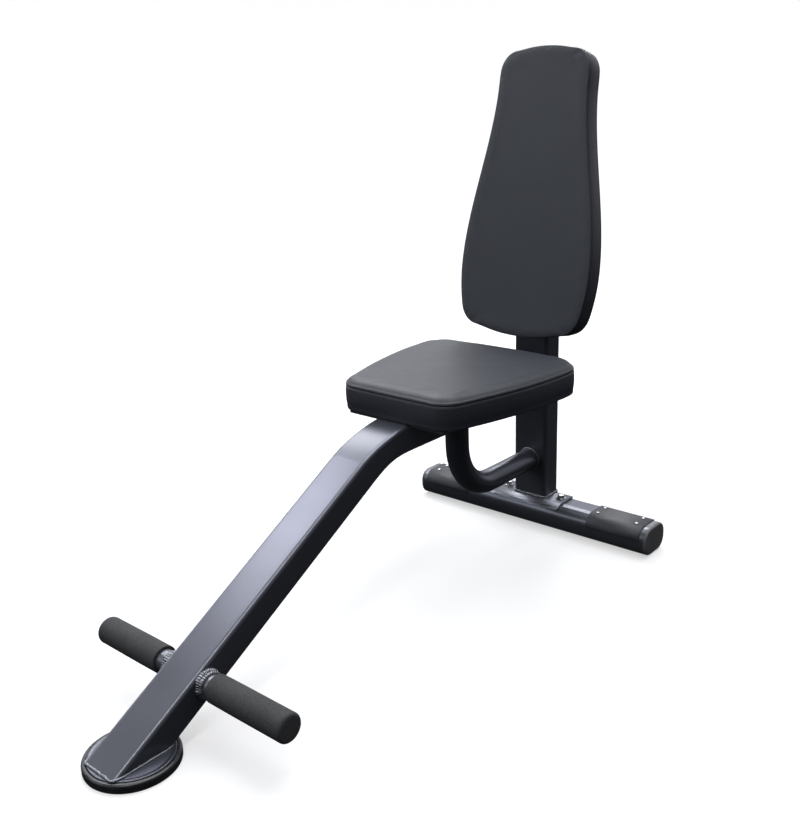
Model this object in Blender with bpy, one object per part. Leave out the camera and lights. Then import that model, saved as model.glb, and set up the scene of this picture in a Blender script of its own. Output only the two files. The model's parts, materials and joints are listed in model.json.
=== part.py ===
"""Fixed utility bench: bent spine on a round foot, foot pegs, rear cross tube, upright, seat and back pad.

Metres, +Z up, floor at Z = 0, left and right mirrored about X = 0, and the user faces -Y.
Y is measured from the axis of the rear cross tube; the empty "bench" then shifts every piece
so that the footprint is centred on the origin.
"""
import math

import bmesh
import bpy
from mathutils import Matrix, Vector

GAP = 0.0003                # clearance between pieces that touch
WALL = 0.003                # wall of every frame tube
SIDES = {"left": -1, "right": 1}

# rear cross tube and what it carries
BASE_LENGTH = 0.598         # over the end caps
BASE_DEPTH = 0.0838
BASE_HEIGHT = 0.0600
BASE_CORNER = 0.025
CAP_FLANGE = 0.007
REAR_PAD_THICKNESS = 0.0015
REAR_PAD_X = 0.245
REAR_PAD_LENGTH = 0.070
REAR_PAD_DEPTH = 0.028
PLUG_LENGTH = 0.018         # how far an end cap reaches into its tube
PLUG_WALL = 0.0025
COVER_INNER_X = 0.157
COVER_OUTER_X = 0.282
COVER_THICKNESS = 0.002
COVER_WRAP = math.radians(88)
COVER_WRAP_REAR = math.radians(28)
COVER_SCREW_X = (0.172, 0.263)
COVER_SCREW_Y = 0.0155
COVER_SCREW_RADIUS = 0.0021
COVER_SCREW_HEAD = 0.0042   # radius of the head
COVER_SCREW_LENGTH = 0.0075
SADDLE_HALF_LENGTH = 0.085
SADDLE_THICKNESS = 0.005
SADDLE_STEPS = 9
SADDLE_WRAP = math.radians(58)
SADDLE_WRAP_AT_END = math.radians(12)
SADDLE_WRAP_REAR = math.radians(30)
BASE_BOLT_X = 0.070
BASE_BOLT_RADIUS = 0.005
BASE_BOLT_LENGTH = 0.026
BASE_HEAD_RADIUS = 0.0098
BASE_HEAD_HEIGHT = 0.0066
BASE_NUT_RADIUS = 0.0092
BASE_NUT_HEIGHT = 0.0085
WASHER_RADIUS = 0.0105
WASHER_THICKNESS = 0.0018

# front foot
FOOT_Y = -1.0875
FOOT_RADIUS = 0.0742
FOOT_PAD_HEIGHT = 0.0148
FOOT_PAD_FLOOR = 0.0045
DISC_RADIUS = 0.0668
DISC_THICKNESS = 0.0115

# spine: straight up from the foot, one bend, then level to the upright
SPINE_WIDTH = 0.0778
SPINE_DEPTH = 0.0541
SPINE_CORNER = 0.008
SPINE_SLOPE = math.radians(29.74)
SPINE_KNEE_Y = -0.5248      # where the two centrelines would cross
SPINE_LEVEL_Z = 0.34055
SPINE_BEND_RADIUS = 0.25
BEND_STEPS = 7
SPINE_BEND_SQUASH = 0.08    # share of the depth that the bend flattens away

# foot pegs
PEG_Y = -0.9673
PEG_RADIUS = 0.0190
PEG_END_X = 0.2180
GRIP_RADIUS = 0.0232
GRIP_END_X = 0.2237
GRIP_INNER_X = {"left": 0.068, "right": 0.061}

# upright
UPRIGHT_WIDTH = 0.0828
UPRIGHT_DEPTH = 0.0530
UPRIGHT_CORNER = 0.008
UPRIGHT_Y = 0.0053
UPRIGHT_KNEE_Z = 0.447
UPRIGHT_BEND_RADIUS = 0.17
UPRIGHT_UPPER_LENGTH = 0.400
CAP_STEP = 0.0025           # height of the straight part of the upright's top cap
BACK_TILT = math.radians(10.5)

# curved brace from the underside of the spine to the upright
BRACE_RADIUS = 0.024
BRACE_Y = -0.283
BRACE_RUN_Z = 0.1525
BRACE_BEND_RADIUS = 0.110

# seat
SEAT_FRONT_Y = -0.4765
SEAT_REAR_Y = -0.1125
SEAT_FRONT_WIDTH = 0.260
SEAT_REAR_WIDTH = 0.352
SEAT_SIDE_BOW = 0.0205
SEAT_REAR_BOW = 0.0083
SEAT_FRONT_CORNER = 0.036
SEAT_REAR_CORNER = 0.045
SEAT_HEIGHT = 0.0525        # underside to the top seam
SEAT_CROWN = 0.009
BRACKET_LENGTH = 0.074
BRACKET_DEPTH = 0.040
BRACKET_THICKNESS = 0.006
PLATE_CORNER = 0.003
BRACKET_Y = {"front": -0.450, "rear": -0.180}
SEAT_BOLT_X = 0.086

# back pad, measured along its own slope from the lower front edge
BACK_FRONT_Y = -0.0780
BACK_FRONT_Z = 0.4577
BACK_HEIGHT = 0.5582
BACK_BOTTOM_WIDTH = 0.2667
BACK_WIDEST = 0.3101
BACK_TOP_WIDTH = 0.206
BACK_WIDEST_AT = 0.1242
BACK_NARROW_AT = 0.5046
BACK_BOTTOM_CORNER = 0.0333
BACK_TOP_CORNER = 0.0419
BACK_BOTTOM_BOW = 0.013
BACK_TOP_BOW = 0.0065
BACK_THICKNESS = 0.0468
BACK_CROWN = 0.004
PLATE_AT = {"lower": 0.130, "upper": 0.330}
PLATE_WIDTH = 0.150
PLATE_HEIGHT = 0.050
BACK_BOLT_X = 0.060

# upholstery
COVER_SKIN = 0.0015
BOARD_THICKNESS = 0.012
EDGE_ROUND = 0.006
M8_RADIUS = 0.004
M8_HEAD_RADIUS = 0.0072
M8_HEAD_HEIGHT = 0.0053
SEAT_BOLT_LENGTH = 0.017
BACK_BOLT_LENGTH = 0.018
TEE_NUT_WALL = 0.001

REAR_TUBE_BOTTOM = REAR_PAD_THICKNESS + GAP
REAR_TUBE_TOP = REAR_TUBE_BOTTOM + BASE_HEIGHT
BASE_AXIS_Z = REAR_TUBE_BOTTOM + BASE_HEIGHT / 2
SADDLE_TOP = REAR_TUBE_TOP + GAP + SADDLE_THICKNESS
UPRIGHT_FRONT_Y = UPRIGHT_Y - UPRIGHT_DEPTH / 2
DISC_TOP = FOOT_PAD_FLOOR + GAP + DISC_THICKNESS
PEG_Z = SPINE_LEVEL_Z + (PEG_Y - SPINE_KNEE_Y) * math.tan(SPINE_SLOPE)
SPINE_TOP = SPINE_LEVEL_Z + SPINE_DEPTH / 2
SPINE_UNDERSIDE = SPINE_LEVEL_Z - SPINE_DEPTH / 2
SEAT_UNDERSIDE = SPINE_TOP + GAP


# ---------------------------------------------------------------- building blocks

def remove_everything():
    for item in list(bpy.data.objects):
        bpy.data.objects.remove(item, do_unlink=True)


def material(name, colour, roughness, metallic):
    made = bpy.data.materials.new(name)
    made.use_nodes = True
    shader = made.node_tree.nodes["Principled BSDF"]
    shader.inputs["Base Color"].default_value = (*colour, 1.0)
    shader.inputs["Roughness"].default_value = roughness
    shader.inputs["Metallic"].default_value = metallic
    return made


def loft(name, rings, finish, wrap=False, place=None):
    """Join rings of equal length; ends are capped, or meet each other when wrap is set."""
    bm = bmesh.new()
    made = [[bm.verts.new(point) for point in ring] for ring in rings]
    pairs = list(zip(made, made[1:]))
    if wrap:
        pairs.append((made[-1], made[0]))
    else:
        bm.faces.new(made[0])
        bm.faces.new(made[-1])
    for low, high in pairs:
        for i in range(len(low)):
            j = (i + 1) % len(low)
            bm.faces.new((low[i], low[j], high[j], high[i]))
    bmesh.ops.recalc_face_normals(bm, faces=bm.faces)
    mesh = bpy.data.meshes.new(name)
    bm.to_mesh(mesh)
    bm.free()
    mesh.shade_smooth()
    mesh.set_sharp_from_angle(angle=math.radians(30))
    mesh.materials.append(finish)
    made_object = bpy.data.objects.new(name, mesh)
    bpy.context.collection.objects.link(made_object)
    made_object.parent = bench
    if place is not None:
        made_object.matrix_local = place
    return made_object


def circle(radius, count=16, turn=0.5):
    """A ring of (u, v) points; turn shifts the first point by a part of one step."""
    steps = [2 * math.pi * (i + turn) / count for i in range(count)]
    return [(radius * math.cos(a), radius * math.sin(a)) for a in steps]


def rounded_rectangle(width, height, corner, steps=3):
    points = []
    for quarter, (sx, sy) in enumerate(((1, 1), (-1, 1), (-1, -1), (1, -1))):
        centre_u = sx * (width / 2 - corner)
        centre_v = sy * (height / 2 - corner)
        for i in range(steps + 1):
            angle = (quarter + i / steps) * math.pi / 2
            points.append((centre_u + corner * math.cos(angle), centre_v + corner * math.sin(angle)))
    return points


def bend_path(start, knee, end, radius, steps):
    """Centreline points with a rounded knee, in the YZ plane, and the direction at each point."""
    before = (knee - start).normalized()
    after = (end - knee).normalized()
    turn = before.angle(after)
    reach = radius * math.tan(turn / 2)
    axis = before.cross(after).normalized()
    inward = axis.cross(before)
    centre = knee - before * reach + inward * radius
    points = [(start, before)]
    for i in range(steps + 1):
        spin = Matrix.Rotation(turn * i / steps, 3, axis)
        points.append((centre - spin @ inward * radius, spin @ before))
    points.append((end, after))
    return points


def sections(path, outline, squash=None):
    """Place an (across X, across the tube) outline square to each point of a path in the YZ plane."""
    rings = []
    for i, (point, direction) in enumerate(path):
        across = Vector((1, 0, 0))
        up = across.cross(direction) * (1 - squash[i] if squash else 1)
        rings.append([point + across * u + up * v for u, v in outline])
    return rings


def trim(ring, direction, axis, level):
    """Slide a ring's points along the tube until they lie on the plane axis = level."""
    return [p + direction * ((level - p[axis]) / direction[axis]) for p in ring]


def bent_tube(name, path, outer, inner, finish, start_cut=None, squash=None):
    rings_out = sections(path, outer, squash)
    rings_in = sections(path, inner, squash)
    for rings in (rings_out, rings_in):
        if start_cut:
            rings[0] = trim(rings[0], path[0][1], *start_cut)
    return loft(name, rings_out + rings_in[::-1], finish, wrap=True)


def turned(name, profile, finish, place, count=16, wrap=False):
    """Turn (radius, height) points about the local Z axis."""
    rings = [[Vector((x, y, height)) for x, y in circle(radius, count)] for radius, height in profile]
    return loft(name, rings, finish, wrap, place)


def collar(name, bore, radius, low, high, place, count):
    """A steel ring about the local Z axis."""
    profile = [(bore, low), (radius, low), (radius, high), (bore, high)]
    return turned(name, profile, steel, place, count, wrap=True)


def extruded(name, outline, low, high, finish, place=None):
    """Raise a flat (x, y) outline from low to high along local Z."""
    rings = [[Vector((x, y, z)) for x, y in outline] for z in (low, high)]
    return loft(name, rings, finish, place=place)


def along_x(point, turn=1):
    """Local Z runs along world X (turn 1) or -X (turn -1)."""
    return Matrix.Translation(point) @ Matrix.Rotation(turn * math.pi / 2, 4, "Y")


def at(x, y, z):
    return Matrix.Translation((x, y, z))


def cut(target, name, places, radius, length):
    """Drill straight round holes, each centred on its place and running along the place's local Z."""
    bm = bmesh.new()
    for place in places:
        bmesh.ops.create_cone(bm, cap_ends=True, segments=12, radius1=radius, radius2=radius,
                              depth=length, matrix=place)
    mesh = bpy.data.meshes.new(name)
    bm.to_mesh(mesh)
    bm.free()
    drill = bpy.data.objects.new(name, mesh)
    bpy.context.collection.objects.link(drill)
    drill.parent = bench
    drill.hide_render = True
    drill.display_type = "WIRE"
    boolean = target.modifiers.new(name, "BOOLEAN")
    boolean.operation = "DIFFERENCE"
    boolean.solver = "EXACT"
    boolean.object = drill


def hex_bolt(name, place, radius, head_radius, head_height, length, finish):
    """Head above local Z = 0, shank below; six flats come from a six-sided ring."""
    head = [Vector((x, y, 0)) for x, y in circle(head_radius, 12)]
    flats = []
    for i, point in enumerate(head):
        angle = 2 * math.pi * (i + 0.5) / 12
        to_flat = (angle % (math.pi / 3)) - math.pi / 6
        flats.append(point * math.cos(math.pi / 6) / math.cos(to_flat))
    shank = [Vector((x, y, 0)) for x, y in circle(radius, 12)]
    rings = [
        [p + Vector((0, 0, -length)) for p in shank],
        shank,
        flats,
        [p + Vector((0, 0, head_height * 0.8)) for p in flats],
        [p * 0.86 + Vector((0, 0, head_height)) for p in head],
    ]
    return loft(name, rings, finish, place=place)


# ---------------------------------------------------------------- rear base

def rear_base():
    tube_half = BASE_LENGTH / 2 - CAP_FLANGE - GAP
    outer = rounded_rectangle(BASE_DEPTH, BASE_HEIGHT, BASE_CORNER, 5)
    inner = rounded_rectangle(BASE_DEPTH - 2 * WALL, BASE_HEIGHT - 2 * WALL, BASE_CORNER - WALL, 5)

    def ring(outline, x):
        return [Vector((x, u, BASE_AXIS_Z + v)) for u, v in outline]

    tube = loft("rear_base_tube", [ring(outer, -tube_half), ring(outer, tube_half),
                                   ring(inner, tube_half), ring(inner, -tube_half)], paint, wrap=True)
    wall_top = REAR_TUBE_TOP - WALL / 2
    screw_holes = [at(side * x, y, wall_top) for side in SIDES.values()
                   for x in COVER_SCREW_X for y in (-COVER_SCREW_Y, COVER_SCREW_Y)]
    bolt_holes = [at(side * BASE_BOLT_X, 0, wall_top) for side in SIDES.values()]
    cut(tube, "screw_drill", screw_holes, COVER_SCREW_RADIUS + GAP, 4 * WALL)
    cut(tube, "bolt_drill", bolt_holes, BASE_BOLT_RADIUS + 2 * GAP, 4 * WALL)

    for side_name, side in SIDES.items():
        end_cap(side_name, side, tube_half)
        strip = rounded_rectangle(REAR_PAD_LENGTH, REAR_PAD_DEPTH, REAR_PAD_DEPTH * 0.3, 2)
        extruded("rear_foot_pad_" + side_name, strip, 0, REAR_PAD_THICKNESS, rubber,
                 at(side * REAR_PAD_X, 0, 0))


def end_cap(side_name, side, tube_half):
    """Flange in line with the tube, with a hollow plug that pushes into it."""
    def ring(shrink, x):
        outline = rounded_rectangle(BASE_DEPTH - 2 * shrink, BASE_HEIGHT - 2 * shrink,
                                    BASE_CORNER - shrink, 5)
        return [Vector((side * x, u, BASE_AXIS_Z + v)) for u, v in outline]

    plug = WALL + GAP
    plug_end = tube_half - PLUG_LENGTH
    flange_start = tube_half + GAP
    face = BASE_LENGTH / 2
    rings = [
        ring(plug + PLUG_WALL, flange_start), ring(plug + PLUG_WALL, plug_end), ring(plug, plug_end),
        ring(plug, flange_start), ring(0.0, flange_start), ring(0.0, face - 0.6 * CAP_FLANGE),
        ring(0.25 * CAP_FLANGE, face - 0.17 * CAP_FLANGE), ring(0.85 * CAP_FLANGE, face),
    ]
    loft("base_end_cap_" + side_name, rings, plastic)


def shoulder_profile(offset, front_turn, rear_turn, steps):
    """Outline over the top of the rear tube, offset outwards, from its front side to its rear side."""
    centre_y = BASE_DEPTH / 2 - BASE_CORNER
    centre_z = BASE_AXIS_Z + BASE_HEIGHT / 2 - BASE_CORNER
    reach = BASE_CORNER + offset
    points = []
    for i in range(steps + 1):
        angle = front_turn * (1 - i / steps)
        points.append((-centre_y - reach * math.sin(angle), centre_z + reach * math.cos(angle)))
    for i in range(steps + 1):
        angle = rear_turn * i / steps
        points.append((centre_y + reach * math.sin(angle), centre_z + reach * math.cos(angle)))
    return points


def wrapped_plate(name, stations, thickness, finish):
    """A plate bent over the rear tube; each station is (x, how far it wraps to the front, to the rear)."""
    rings = []
    for x, front_turn, rear_turn in stations:
        under = shoulder_profile(GAP, front_turn, rear_turn, 6)
        over = shoulder_profile(GAP + thickness, front_turn, rear_turn, 6)
        rings.append([Vector((x, y, z)) for y, z in under + over[::-1]])
    return loft(name, rings, finish)


def base_fittings():
    stations = []
    for i in range(-SADDLE_STEPS, SADDLE_STEPS + 1):
        share = math.sin(i / SADDLE_STEPS * math.pi / 2)
        rounding = math.sqrt(1 - abs(share) ** 5)
        front = SADDLE_WRAP_AT_END + (SADDLE_WRAP - SADDLE_WRAP_AT_END) * rounding
        stations.append((SADDLE_HALF_LENGTH * share, front, SADDLE_WRAP_REAR))
    saddle = wrapped_plate("upright_base_plate", stations, SADDLE_THICKNESS, paint)
    cut(saddle, "saddle_drill", [at(side * BASE_BOLT_X, 0, SADDLE_TOP) for side in SIDES.values()],
        BASE_BOLT_RADIUS + 2 * GAP, 4 * SADDLE_THICKNESS)
    washer_top = SADDLE_TOP + GAP + WASHER_THICKNESS
    bore = BASE_BOLT_RADIUS + 2 * GAP
    nut_top = REAR_TUBE_TOP - WALL - GAP
    for side_name, side in SIDES.items():
        x = side * BASE_BOLT_X
        collar("base_washer_" + side_name, bore, WASHER_RADIUS, 0, WASHER_THICKNESS,
               at(x, 0, SADDLE_TOP + GAP), 16)
        hex_bolt("base_bolt_" + side_name, at(x, 0, washer_top + GAP),
                 BASE_BOLT_RADIUS, BASE_HEAD_RADIUS, BASE_HEAD_HEIGHT, BASE_BOLT_LENGTH, steel)
        collar("base_nut_" + side_name, bore, BASE_NUT_RADIUS, -BASE_NUT_HEIGHT, 0, at(x, 0, nut_top), 12)
        base_cover(side_name, side)


def base_cover(side_name, side):
    stations = [(side * x, COVER_WRAP, COVER_WRAP_REAR) for x in (COVER_INNER_X, COVER_OUTER_X)]
    cover = wrapped_plate("base_cover_" + side_name, stations, COVER_THICKNESS, paint)
    top = REAR_TUBE_TOP + GAP + COVER_THICKNESS
    holes = []
    for i, x in enumerate(COVER_SCREW_X):
        for j, y in enumerate((-COVER_SCREW_Y, COVER_SCREW_Y)):
            holes.append(at(side * x, y, top))
            profile = [(COVER_SCREW_RADIUS, -COVER_SCREW_LENGTH), (COVER_SCREW_RADIUS, 0),
                       (COVER_SCREW_HEAD, 0), (COVER_SCREW_HEAD * 0.9, COVER_SCREW_HEAD * 0.3),
                       (COVER_SCREW_HEAD * 0.5, COVER_SCREW_HEAD * 0.5)]
            turned("cover_screw_%s_%d" % (side_name, 2 * i + j + 1), profile, steel,
                   at(side * x, y, top + GAP), count=12)
    cut(cover, "cover_drill_" + side_name, holes, COVER_SCREW_RADIUS + GAP, 4 * COVER_THICKNESS)


# ---------------------------------------------------------------- front foot, spine and pegs

def front_foot():
    turned("front_foot_pad", [
        (DISC_RADIUS + GAP, FOOT_PAD_FLOOR), (DISC_RADIUS + GAP, FOOT_PAD_HEIGHT - 0.001),
        (DISC_RADIUS + 0.0020, FOOT_PAD_HEIGHT), (FOOT_RADIUS - 0.0022, FOOT_PAD_HEIGHT),
        (FOOT_RADIUS, FOOT_PAD_HEIGHT - 0.0022), (FOOT_RADIUS, 0.0016), (FOOT_RADIUS - 0.0016, 0),
    ], rubber, at(0, FOOT_Y, 0), count=48)
    turned("front_foot_disc", [
        (DISC_RADIUS - 0.0008, 0), (DISC_RADIUS, 0.0008), (DISC_RADIUS, DISC_THICKNESS - 0.0015),
        (DISC_RADIUS - 0.0015, DISC_THICKNESS),
    ], paint, at(0, FOOT_Y, FOOT_PAD_FLOOR + GAP), count=48)


def spine():
    knee = Vector((0, SPINE_KNEE_Y, SPINE_LEVEL_Z))
    run = Vector((0, math.cos(SPINE_SLOPE), math.sin(SPINE_SLOPE)))
    start = knee - run * ((SPINE_LEVEL_Z - DISC_TOP) / run.z)
    end = Vector((0, UPRIGHT_FRONT_Y - GAP, SPINE_LEVEL_Z))
    path = bend_path(start, knee, end, SPINE_BEND_RADIUS, BEND_STEPS)
    squash = [SPINE_BEND_SQUASH * math.sin(math.pi * i / BEND_STEPS) ** 2 for i in range(BEND_STEPS + 1)]
    squash = [0.0] + squash + [0.0]
    outer = rounded_rectangle(SPINE_WIDTH, SPINE_DEPTH, SPINE_CORNER)
    inner = rounded_rectangle(SPINE_WIDTH - 2 * WALL, SPINE_DEPTH - 2 * WALL, SPINE_CORNER - WALL)
    bent_tube("front_spine", path, outer, inner, paint, start_cut=(2, DISC_TOP + GAP), squash=squash)


def foot_pegs():
    inner_end = SPINE_WIDTH / 2 + GAP
    for side_name, side in SIDES.items():
        place = along_x((0, PEG_Y, PEG_Z), side)
        turned("foot_peg_" + side_name, [
            (PEG_RADIUS, inner_end), (PEG_RADIUS, PEG_END_X),
            (PEG_RADIUS - WALL, PEG_END_X), (PEG_RADIUS - WALL, inner_end),
        ], paint, place, count=20, wrap=True)
        bore = PEG_RADIUS + GAP
        turned("foot_peg_grip_" + side_name, [
            (bore, PEG_END_X + GAP), (bore, GRIP_INNER_X[side_name]),
            (GRIP_RADIUS - 0.001, GRIP_INNER_X[side_name]), (GRIP_RADIUS, GRIP_INNER_X[side_name] + 0.001),
            (GRIP_RADIUS, GRIP_END_X - 0.004), (GRIP_RADIUS - 0.0012, GRIP_END_X - 0.0012),
            (GRIP_RADIUS - 0.004, GRIP_END_X),
        ], rubber, place, count=20)


# ---------------------------------------------------------------- upright and brace

def upright_path():
    start = Vector((0, UPRIGHT_Y, SADDLE_TOP + GAP))
    knee = Vector((0, UPRIGHT_Y, UPRIGHT_KNEE_Z))
    end = knee + Vector((0, math.sin(BACK_TILT), math.cos(BACK_TILT))) * UPRIGHT_UPPER_LENGTH
    return bend_path(start, knee, end, UPRIGHT_BEND_RADIUS, 3)


def upright():
    path = upright_path()
    outer = rounded_rectangle(UPRIGHT_WIDTH, UPRIGHT_DEPTH, UPRIGHT_CORNER)
    inner = rounded_rectangle(UPRIGHT_WIDTH - 2 * WALL, UPRIGHT_DEPTH - 2 * WALL, UPRIGHT_CORNER - WALL)
    bent_tube("rear_upright", path, outer, inner, paint)

    top, direction = path[-1]
    plug = rounded_rectangle(UPRIGHT_WIDTH - 2 * (WALL + GAP), UPRIGHT_DEPTH - 2 * (WALL + GAP),
                             UPRIGHT_CORNER - WALL - GAP)
    rim = rounded_rectangle(UPRIGHT_WIDTH - 0.003, UPRIGHT_DEPTH - 0.003, UPRIGHT_CORNER - 0.0015)
    stations = [(plug, -0.015), (plug, GAP), (outer, GAP), (outer, CAP_STEP), (rim, 2 * CAP_STEP)]
    rings = [sections([(top + direction * height, direction)], outline)[0] for outline, height in stations]
    loft("upright_top_cap", rings, plastic)


def brace():
    start = Vector((0, BRACE_Y, SPINE_UNDERSIDE - GAP))
    knee = Vector((0, BRACE_Y, BRACE_RUN_Z))
    end = Vector((0, UPRIGHT_FRONT_Y - GAP, BRACE_RUN_Z))
    path = bend_path(start, knee, end, BRACE_BEND_RADIUS, 10)
    bent_tube("curved_brace", path, circle(BRACE_RADIUS, 20), circle(BRACE_RADIUS - WALL, 20), paint)


# ---------------------------------------------------------------- seat

def seat_outline(inset):
    """Tapered plan with rounded corners, bowed sides and a bowed rear edge, moved in by inset."""
    length = SEAT_REAR_Y - SEAT_FRONT_Y
    corners = (
        (SEAT_FRONT_WIDTH / 2, SEAT_FRONT_Y, SEAT_FRONT_CORNER, -90, 0),
        (SEAT_REAR_WIDTH / 2, SEAT_REAR_Y, SEAT_REAR_CORNER, 0, 90),
    )
    half = []
    for x, y, radius, first, last in corners:
        toward = 1 if last == 90 else -1
        for i in range(6):
            angle = math.radians(first + (last - first) * i / 5)
            half.append((x - radius + (radius - inset) * math.cos(angle),
                         y - toward * radius + (radius - inset) * math.sin(angle)))
        if toward < 0:
            steps = 5
            start = half[-1]
            end = (SEAT_REAR_WIDTH / 2 - inset, SEAT_REAR_Y - SEAT_REAR_CORNER)
            for i in range(1, steps):
                half.append((start[0] + (end[0] - start[0]) * i / steps,
                             start[1] + (end[1] - start[1]) * i / steps))
    bowed = []
    for x, y in half:
        along = (y - SEAT_FRONT_Y) / length
        width = SEAT_FRONT_WIDTH / 2 + (SEAT_REAR_WIDTH - SEAT_FRONT_WIDTH) / 2 * along
        across = x / width
        x += across ** 3 * SEAT_SIDE_BOW * 4 * along * (1 - along)
        y += max(0.0, 2 * along - 1) ** 2 * SEAT_REAR_BOW * (1 - across ** 2)
        bowed.append((x, y))
    rear = [(x, SEAT_REAR_Y - inset + SEAT_REAR_BOW * (1 - (x / (SEAT_REAR_WIDTH / 2)) ** 2))
            for x in (0.08, 0.0, -0.08)]
    return bowed + rear + [(-x, y) for x, y in reversed(bowed)]


def cushion_pieces(prefix, outline, height, crown, board_finish, place):
    """Skin, foam and board: the skin is open below, the foam fills it and the board closes it."""
    def ring(inset, z):
        return [Vector((x, y, z)) for x, y in outline(inset)]

    under_skin = COVER_SKIN + GAP
    loft(prefix + "_cover", [
        ring(COVER_SKIN + EDGE_ROUND, height + crown * 0.4 - COVER_SKIN),
        ring(COVER_SKIN, height - EDGE_ROUND), ring(COVER_SKIN, 0),
        ring(0, 0), ring(0, height - EDGE_ROUND * 0.6),
        ring(EDGE_ROUND * 0.4, height), ring(EDGE_ROUND * 2, height + crown * 0.55),
        ring(EDGE_ROUND * 4.5, height + crown),
    ], leather, place=place)
    loft(prefix + "_foam", [
        ring(under_skin, BOARD_THICKNESS + GAP), ring(under_skin, height - EDGE_ROUND - 2 * GAP),
        ring(under_skin + EDGE_ROUND, height + crown * 0.4 - under_skin - GAP),
    ], foam, place=place)
    return loft(prefix + "_board", [ring(under_skin, 0), ring(under_skin, BOARD_THICKNESS)],
                board_finish, place=place)


def seat():
    place = at(0, 0, SEAT_UNDERSIDE)
    board = cushion_pieces("seat", seat_outline, SEAT_HEIGHT, SEAT_CROWN, wood, place)
    bolts = []
    for end_name, y in BRACKET_Y.items():
        for side_name, side in SIDES.items():
            tag = "%s_%s" % (end_name, side_name)
            middle = side * (SPINE_WIDTH / 2 + GAP + BRACKET_LENGTH / 2)
            plan = rounded_rectangle(BRACKET_LENGTH, BRACKET_DEPTH, PLATE_CORNER, 1)
            plate = extruded("seat_bracket_" + tag, plan, -BRACKET_THICKNESS, 0, paint,
                             at(middle, y, SPINE_TOP))
            spot = at(side * SEAT_BOLT_X, y, SPINE_TOP)
            cut(plate, "bracket_drill_" + tag, [spot], M8_RADIUS + 2 * GAP, 4 * BRACKET_THICKNESS)
            head_down = at(side * SEAT_BOLT_X, y, SPINE_TOP - BRACKET_THICKNESS - GAP)
            hex_bolt("seat_bolt_" + tag, head_down @ Matrix.Rotation(math.pi, 4, "X"),
                     M8_RADIUS, M8_HEAD_RADIUS, M8_HEAD_HEIGHT, SEAT_BOLT_LENGTH, steel)
            tee_nut("seat_tee_nut_" + tag, at(side * SEAT_BOLT_X, y, SEAT_UNDERSIDE))
            bolts.append(at(side * SEAT_BOLT_X, y, BOARD_THICKNESS / 2))
    cut_in_pad(board, "seat_board_drill", bolts, place)


def tee_nut(name, place):
    """Threaded sleeve that fills its hole in a board; local Z points into the cushion."""
    bore = M8_RADIUS + 2 * GAP
    collar(name, bore, bore + TEE_NUT_WALL, GAP, BOARD_THICKNESS - GAP, place, 12)


def cut_in_pad(board, name, spots, place):
    hole = M8_RADIUS + TEE_NUT_WALL + 4 * GAP
    cut(board, name, [place @ spot for spot in spots], hole, 2 * BOARD_THICKNESS)


# ---------------------------------------------------------------- back pad

def back_half_width(along):
    """Half width of the back pad at a distance up its slope, without the rounded corners."""
    if along < BACK_WIDEST_AT:
        drop = ((BACK_WIDEST_AT - along) / BACK_WIDEST_AT) ** 2
        return BACK_WIDEST / 2 - (BACK_WIDEST - BACK_BOTTOM_WIDTH) / 2 * drop
    rise = min(1.0, (along - BACK_WIDEST_AT) / (BACK_NARROW_AT - BACK_WIDEST_AT))
    return BACK_WIDEST / 2 + (BACK_TOP_WIDTH - BACK_WIDEST) / 2 * rise * rise * (3 - 2 * rise)


def corner_loss(distance, radius):
    """How much a rounded corner takes off the half width at a distance from the pad's end."""
    if distance >= radius:
        return 0.0
    return radius - math.sqrt(radius ** 2 - (radius - distance) ** 2)


def back_outline(inset):
    sweep = [1 - math.cos(math.radians(18 * i)) for i in range(5)]
    straight = BACK_HEIGHT - BACK_BOTTOM_CORNER - BACK_TOP_CORNER
    stations = [BACK_BOTTOM_CORNER * share for share in sweep]
    stations += [BACK_BOTTOM_CORNER + straight * i / 12 for i in range(13)]
    stations += [BACK_HEIGHT - BACK_TOP_CORNER * share for share in reversed(sweep)]
    side = []
    for along in stations:
        x = back_half_width(along) - corner_loss(along, BACK_BOTTOM_CORNER)
        x -= corner_loss(BACK_HEIGHT - along, BACK_TOP_CORNER)
        side.append(Vector((x, along)))
    bottom = [Vector((side[0].x * t, -BACK_BOTTOM_BOW * (1 - t * t))) for t in (-0.5, 0.0, 0.5)]
    top = [Vector((side[-1].x * t, BACK_HEIGHT + BACK_TOP_BOW * (1 - t * t))) for t in (0.5, 0.0, -0.5)]
    left = [Vector((-p.x, p.y)) for p in reversed(side)]
    loop = bottom + side + top + left
    moved = []
    for i, point in enumerate(loop):
        along = loop[(i + 1) % len(loop)] - loop[i - 1]
        inward = Vector((-along.y, along.x)).normalized()
        moved.append(tuple(point + inward * inset))
    return moved


def back_frame():
    """Local X across, local Y up the slope, local Z out of the front of the pad; Z = 0 is its rear face."""
    up = Vector((0, math.sin(BACK_TILT), math.cos(BACK_TILT)))
    front = Vector((0, -math.cos(BACK_TILT), math.sin(BACK_TILT)))
    origin = Vector((0, BACK_FRONT_Y, BACK_FRONT_Z)) - front * BACK_THICKNESS
    axes = Matrix((Vector((1, 0, 0)), up, front)).transposed().to_4x4()
    return Matrix.Translation(origin) @ axes


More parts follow.
